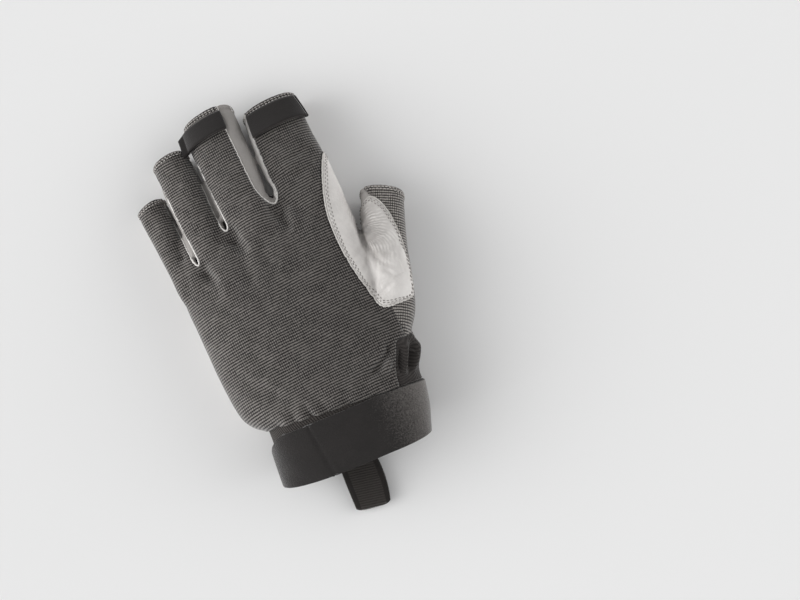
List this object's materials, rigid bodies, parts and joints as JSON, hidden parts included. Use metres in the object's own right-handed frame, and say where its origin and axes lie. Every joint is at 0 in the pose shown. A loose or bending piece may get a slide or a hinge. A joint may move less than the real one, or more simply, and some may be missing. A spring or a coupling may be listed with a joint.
{
  "type": "climbing glove",
  "caption": "Left-hand half-finger climbing and belay glove with a leather palm, ribbed stretch back and a hook-and-loop wrist strap.",
  "frame": {"origin": "middle of the glove's footprint, on the surface it lies on, palm down", "axes": "+Y from the wrist to the fingertips, +X to the thumb, +Z out of the back of the hand"},
  "size_m": [0.1372, 0.2352, 0.0399],
  "materials": {
    "weave": "ribbed stretch weave, matte",
    "leather": "light grain leather, matte",
    "elastic": "ribbed elastic, matte",
    "strap": "napped hook-and-loop tape",
    "webbing": "flat woven webbing",
    "tab": "microfibre suede"
  },
  "bodies": {
    "root": {"back_panel": "weave", "palm_panel": "leather", "thumb_back": "weave", "thumb_web_patch": "leather", "fourchette_little_ring": "leather", "fourchette_ring_middle": "leather", "fourchette_middle_index": "leather", "wrist_gusset": "elastic", "wristband": "elastic", "closure_strap": "strap", "middle_pull_tab": "tab", "index_pull_tab": "tab", "pull_loop": "webbing"}
  },
  "joints": []
}
